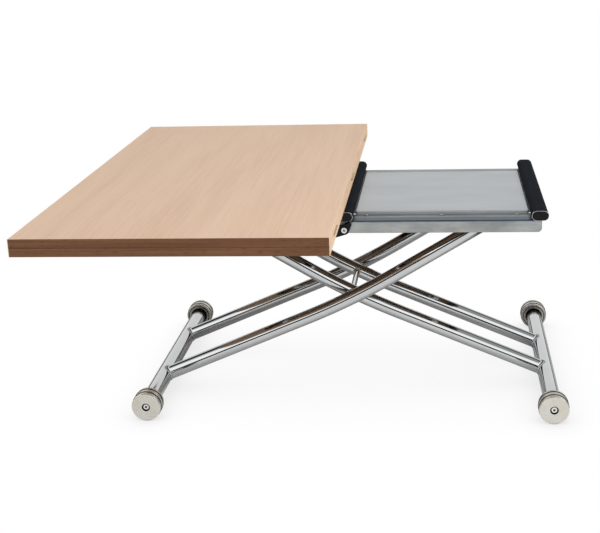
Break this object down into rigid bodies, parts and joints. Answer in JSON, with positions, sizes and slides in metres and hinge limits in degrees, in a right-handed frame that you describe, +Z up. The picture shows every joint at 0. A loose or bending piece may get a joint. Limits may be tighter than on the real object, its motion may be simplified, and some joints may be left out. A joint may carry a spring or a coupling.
{
  "type": "convertible coffee and dining table",
  "caption": "Lifting table on a chromed scissor base with wheels: a swivelling top folds open from coffee table size to a square dining top on black rest rails.",
  "frame": {"origin": "on the floor, under the middle of the lift frame, where the crossing of the legs lies above it", "axes": "+Z up, +Y to the back along the foot tubes, +X to the right, the way the upper leaf unfolds"},
  "size_m": [1.0133, 1.1, 0.4572],
  "materials": {
    "oak_laminate": "satin wood-grain laminate",
    "dark_edge_band": "satin dark wood-grain edge band",
    "light_edge_band": "satin pale wood-grain edge band",
    "galvanised_plate": "satin zinc-coated sheet",
    "brushed_frame_steel": "brushed along the length",
    "chrome_tube": "bright chrome plate",
    "brushed_nickel": "turned and satin nickel plated",
    "ring_rubber": "matte rubber",
    "black_rail": "black soft-touch coat",
    "black_plastic": "fine moulded grain",
    "zinc_steel": "zinc plated",
    "polished_rod": "ground and polished",
    "hinge_steel": "bronzed steel",
    "nylon": "moulded nylon"
  },
  "bodies": {
    "lift_frame": {"front_side_channel": "brushed_frame_steel", "back_side_channel": "brushed_frame_steel", "frame_end_plates": "brushed_frame_steel", "right_top_plate": "galvanised_plate", "left_top_plate": "galvanised_plate", "top_plate_screws": "zinc_steel", "left_rest_rail": "black_rail", "centre_rest_rail": "black_rail", "right_rest_rail": "black_rail", "rest_rail_end_caps": "black_plastic", "fixed_top_shaft": "zinc_steel", "fixed_shaft_blocks": "nylon", "gas_spring_cylinder": "black_plastic", "gas_spring_valve_head": "zinc_steel", "lever_bush": "nylon", "lever_shaft_bracket": "zinc_steel", "swivel_base_disc": "nylon", "swivel_backing_plate": "zinc_steel", "swivel_pivot_bolt": "zinc_steel"},
    "outer_legs": {"left_foot_tube": "chrome_tube", "front_outer_leg": "chrome_tube", "back_outer_leg": "chrome_tube", "outer_leg_lugs": "chrome_tube", "left_foot_plugs": "black_plastic", "left_axle_screws": "zinc_steel", "pivot_axle": "chrome_tube", "pivot_spacers": "nylon"},
    "inner_legs": {"right_foot_tube": "chrome_tube", "front_inner_leg": "chrome_tube", "back_inner_leg": "chrome_tube", "inner_leg_lugs": "chrome_tube", "inner_pivot_bushes": "nylon", "right_foot_plugs": "black_plastic", "right_axle_screws": "zinc_steel"},
    "slide_carriage": {"sliding_top_shaft": "zinc_steel", "track_slide_blocks": "nylon", "gas_spring_rod": "polished_rod"},
    "lower_leaf": {"lower_leaf_panel": "oak_laminate", "lower_leaf_end_bands": "dark_edge_band", "lower_leaf_long_bands": "light_edge_band", "swivel_turning_plate": "zinc_steel", "lower_hinge_flaps": "hinge_steel", "fold_hinge_pins": "hinge_steel"},
    "upper_leaf": {"upper_leaf_panel": "oak_laminate", "upper_leaf_end_bands": "dark_edge_band", "upper_leaf_long_bands": "light_edge_band", "upper_hinge_flaps": "hinge_steel"},
    "lever": {"release_lever": "black_plastic", "lever_screw": "zinc_steel", "lever_shaft": "zinc_steel"},
    "push_rod": {"valve_push_rod": "zinc_steel"},
    "front_left_wheel": {"front_left_wheel": "brushed_nickel", "front_left_wheel_rings": "ring_rubber"},
    "back_left_wheel": {"back_left_wheel": "brushed_nickel", "back_left_wheel_rings": "ring_rubber"},
    "front_right_wheel": {"front_right_wheel": "brushed_nickel", "front_right_wheel_rings": "ring_rubber"},
    "back_right_wheel": {"back_right_wheel": "brushed_nickel", "back_right_wheel_rings": "ring_rubber"}
  },
  "joints": [
    {"name": "lift", "type": "hinge", "parent": "lift_frame", "child": "outer_legs", "pos_m": [0.31772, 0, 0.3915], "axis": [0, -1, 0], "range_deg": [-3.3, 28.4]},
    {"name": "scissor", "type": "hinge", "parent": "outer_legs", "child": "inner_legs", "pos_m": [0, 0, 0.2071], "axis": [0, -1, 0], "range_deg": [-57.2, 7]},
    {"name": "carriage_level", "type": "hinge", "parent": "inner_legs", "child": "slide_carriage", "pos_m": [-0.31772, 0, 0.3915], "axis": [0, -1, 0], "range_deg": [-3.5, 28.6]},
    {"name": "top_swivel", "type": "hinge", "parent": "lift_frame", "child": "lower_leaf", "pos_m": [-0.1425, 0.1425, 0.4245], "axis": [0, 0, 1], "range_deg": [0, 90]},
    {"name": "leaf_fold", "type": "hinge", "parent": "lower_leaf", "child": "upper_leaf", "pos_m": [0, 0, 0.44085], "axis": [0, 1, 0], "range_deg": [0, 180]},
    {"name": "release_lever", "type": "hinge", "parent": "lift_frame", "child": "lever", "pos_m": [0, -0.2493, 0.389], "axis": [0, 1, 0], "range_deg": [0, 18], "stiffness_Nm_per_rad": 1.5, "springref_deg": -5.73},
    {"name": "push_rod_slide", "type": "slide", "parent": "lift_frame", "child": "push_rod", "axis": [1, 0, 0], "range_m": [0, 0.00303]},
    {"name": "front_left_wheel_spin", "type": "hinge", "parent": "outer_legs", "child": "front_left_wheel", "pos_m": [-0.41247, -0.302, 0.0306], "axis": [0, 1, 0], "continuous": true},
    {"name": "back_left_wheel_spin", "type": "hinge", "parent": "outer_legs", "child": "back_left_wheel", "pos_m": [-0.41247, 0.302, 0.0306], "axis": [0, 1, 0], "continuous": true},
    {"name": "front_right_wheel_spin", "type": "hinge", "parent": "inner_legs", "child": "front_right_wheel", "pos_m": [0.41247, -0.302, 0.0306], "axis": [0, 1, 0], "continuous": true},
    {"name": "back_right_wheel_spin", "type": "hinge", "parent": "inner_legs", "child": "back_right_wheel", "pos_m": [0.41247, 0.302, 0.0306], "axis": [0, 1, 0], "continuous": true}
  ],
  "couplings": [
    {"joint": "scissor", "follows": "lift", "ratio": -2},
    {"joint": "carriage_level", "follows": "lift", "ratio": 1},
    {"joint": "push_rod_slide", "follows": "release_lever", "m_per_rad": 0.009}
  ]
}
